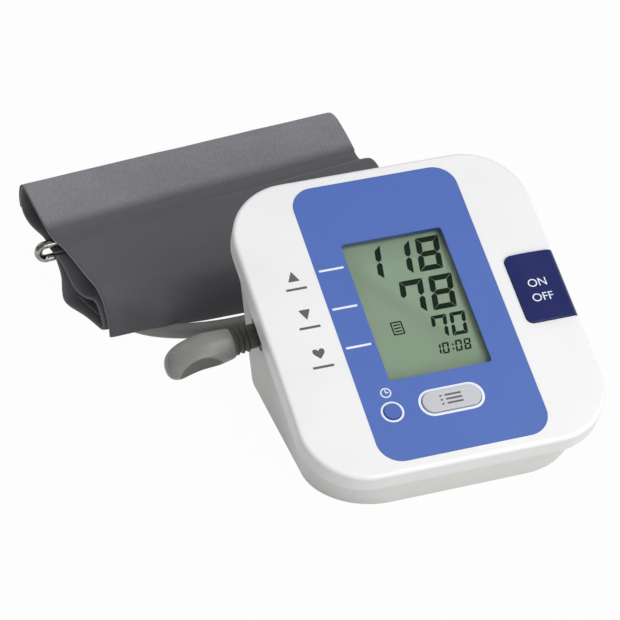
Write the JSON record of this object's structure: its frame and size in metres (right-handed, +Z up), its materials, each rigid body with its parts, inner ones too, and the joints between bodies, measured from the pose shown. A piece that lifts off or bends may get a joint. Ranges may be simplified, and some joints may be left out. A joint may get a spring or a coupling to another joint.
{
  "type": "blood pressure monitor",
  "caption": "Desk-type upper-arm blood pressure monitor: sloping case with display and press buttons, air plug, hose and folded fabric cuff with a wire ring.",
  "frame": {"origin": "middle of the case's base outline, on the table", "axes": "+Z up from the table; the display slopes down towards -Y; +X is the viewer's right when facing the display"},
  "size_m": [0.2326, 0.2323, 0.0837],
  "materials": {
    "case_white": "satin moulded",
    "panel_blue": "printed, semi-gloss",
    "clear_window": "polished clear",
    "lcd": "grey-green reflective",
    "inner_plastic": "moulded",
    "strip_rubber": "soft",
    "navy_key": "satin moulded",
    "pale_key": "satin moulded",
    "board_green": "solder mask",
    "steel": "zinc plated",
    "black_plastic": "moulded",
    "battery_can": "printed sleeve",
    "door_white": "satin moulded",
    "socket_plastic": "moulded",
    "tube_rubber": "matt",
    "plug_grey": "satin moulded",
    "cuff_cloth": "woven nylon",
    "bladder_rubber": "soft",
    "ring_metal": "polished"
  },
  "bodies": {
    "case": {"air_bladder": "bladder_rubber", "air_joint": "inner_plastic", "air_plug": "plug_grey", "air_socket": "socket_plastic", "air_tubes": "tube_rubber", "batteries": "battery_can", "battery_contacts": "steel", "battery_tray": "inner_plastic", "board_screws": "steel", "bottom_case": "case_white", "button_switches": "black_plastic", "case_screws": "steel", "control_chip": "black_plastic", "cuff_arm_loop": "cuff_cloth", "cuff_flap": "cuff_cloth", "cuff_lining": "cuff_cloth", "cuff_nozzle": "socket_plastic", "d_ring": "ring_metal", "display_window": "clear_window", "exhaust_valve": "black_plastic", "face_panel": "panel_blue", "hose": "tube_rubber", "lcd_connector_strips": "strip_rubber", "lcd_glass": "lcd", "lcd_holder": "inner_plastic", "main_board": "board_green", "pressure_sensor": "black_plastic", "pump_cradle": "strip_rubber", "pump_head": "inner_plastic", "pump_motor": "steel", "top_cover": "case_white"},
    "start_key": {"start_stop_button": "navy_key"},
    "memory_key": {"memory_button": "pale_key"},
    "clock_key": {"clock_button": "pale_key"},
    "door": {"battery_door": "door_white"}
  },
  "joints": [
    {"name": "start_press", "type": "slide", "parent": "case", "child": "start_key", "axis": [0, 0.4051, -0.9143], "range_m": [0, 0.0008], "stiffness_N_per_m": 600},
    {"name": "memory_press", "type": "slide", "parent": "case", "child": "memory_key", "axis": [0, 0.4051, -0.9143], "range_m": [0, 0.0008], "stiffness_N_per_m": 600},
    {"name": "clock_press", "type": "slide", "parent": "case", "child": "clock_key", "axis": [0, 0.4051, -0.9143], "range_m": [0, 0.0008], "stiffness_N_per_m": 600},
    {"name": "battery_door_slide", "type": "slide", "parent": "case", "child": "door", "axis": [0, 1, 0], "range_m": [0, 0.003]}
  ]
}
